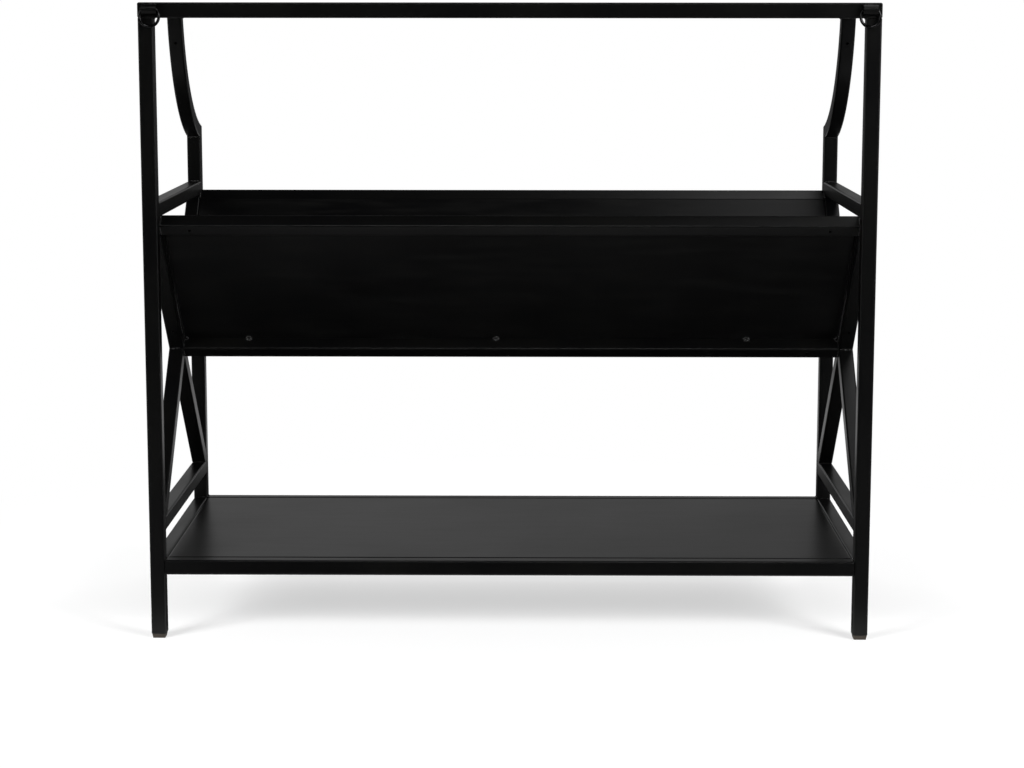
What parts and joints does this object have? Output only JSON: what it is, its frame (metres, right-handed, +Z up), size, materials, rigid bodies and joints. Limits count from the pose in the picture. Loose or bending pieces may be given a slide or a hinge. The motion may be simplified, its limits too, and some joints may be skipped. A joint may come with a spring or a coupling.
{
  "type": "library bookcase",
  "caption": "Open steel library bookcase: square-tube frame with cross-braced ends, V-shaped book trough over a flat bottom shelf, narrower top shelf on curved arms, hanging wall rings.",
  "frame": {"origin": "on the floor, under the middle of the case's overall box", "axes": "+X along the case, +Y from the ring side to the side with the curved arms, +Z up"},
  "size_m": [1.2, 0.5652, 1.054],
  "materials": {
    "black_painted_steel": "satin black powder coat",
    "foot_plastic": "moulded, matt dark brown-black",
    "black_wire": "black-coated wire, semi-gloss"
  },
  "bodies": {
    "case": {"top_front_rail": "black_painted_steel", "top_rear_rail": "black_painted_steel", "top_shelf_panel": "black_painted_steel", "shelf_front_rail": "black_painted_steel", "shelf_rear_rail": "black_painted_steel", "shelf_panel": "black_painted_steel", "trough_front_rail": "black_painted_steel", "trough_rear_rail": "black_painted_steel", "trough_keel": "black_painted_steel", "trough_front_panel": "black_painted_steel", "trough_rear_panel": "black_painted_steel", "front_upright_left": "black_painted_steel", "front_upright_right": "black_painted_steel", "rear_upright_left": "black_painted_steel", "rear_upright_right": "black_painted_steel", "curved_arm_left": "black_painted_steel", "curved_arm_right": "black_painted_steel", "top_side_rail_left": "black_painted_steel", "top_side_rail_right": "black_painted_steel", "upper_side_rail_left": "black_painted_steel", "upper_side_rail_right": "black_painted_steel", "lower_side_rail_left": "black_painted_steel", "lower_side_rail_right": "black_painted_steel", "shelf_side_rail_left": "black_painted_steel", "shelf_side_rail_right": "black_painted_steel", "brace_long_left": "black_painted_steel", "brace_long_right": "black_painted_steel", "brace_upper_left": "black_painted_steel", "brace_upper_right": "black_painted_steel", "brace_lower_left": "black_painted_steel", "brace_lower_right": "black_painted_steel", "ring_keeper_left": "black_painted_steel", "ring_keeper_right": "black_painted_steel", "front_foot_glide_left": "foot_plastic", "front_foot_glide_right": "foot_plastic", "rear_foot_glide_left": "foot_plastic", "rear_foot_glide_right": "foot_plastic"},
    "ring_left": {"wire_ring_left": "black_wire"},
    "ring_right": {"wire_ring_right": "black_wire"}
  },
  "joints": [
    {"name": "ring_left_swing", "type": "hinge", "parent": "case", "child": "ring_left", "pos_m": [-0.58, -0.27425, 1.04275], "axis": [-1, 0, 0], "range_deg": [-6, 195]},
    {"name": "ring_right_swing", "type": "hinge", "parent": "case", "child": "ring_right", "pos_m": [0.58, -0.27425, 1.04275], "axis": [-1, 0, 0], "range_deg": [-6, 195]}
  ]
}
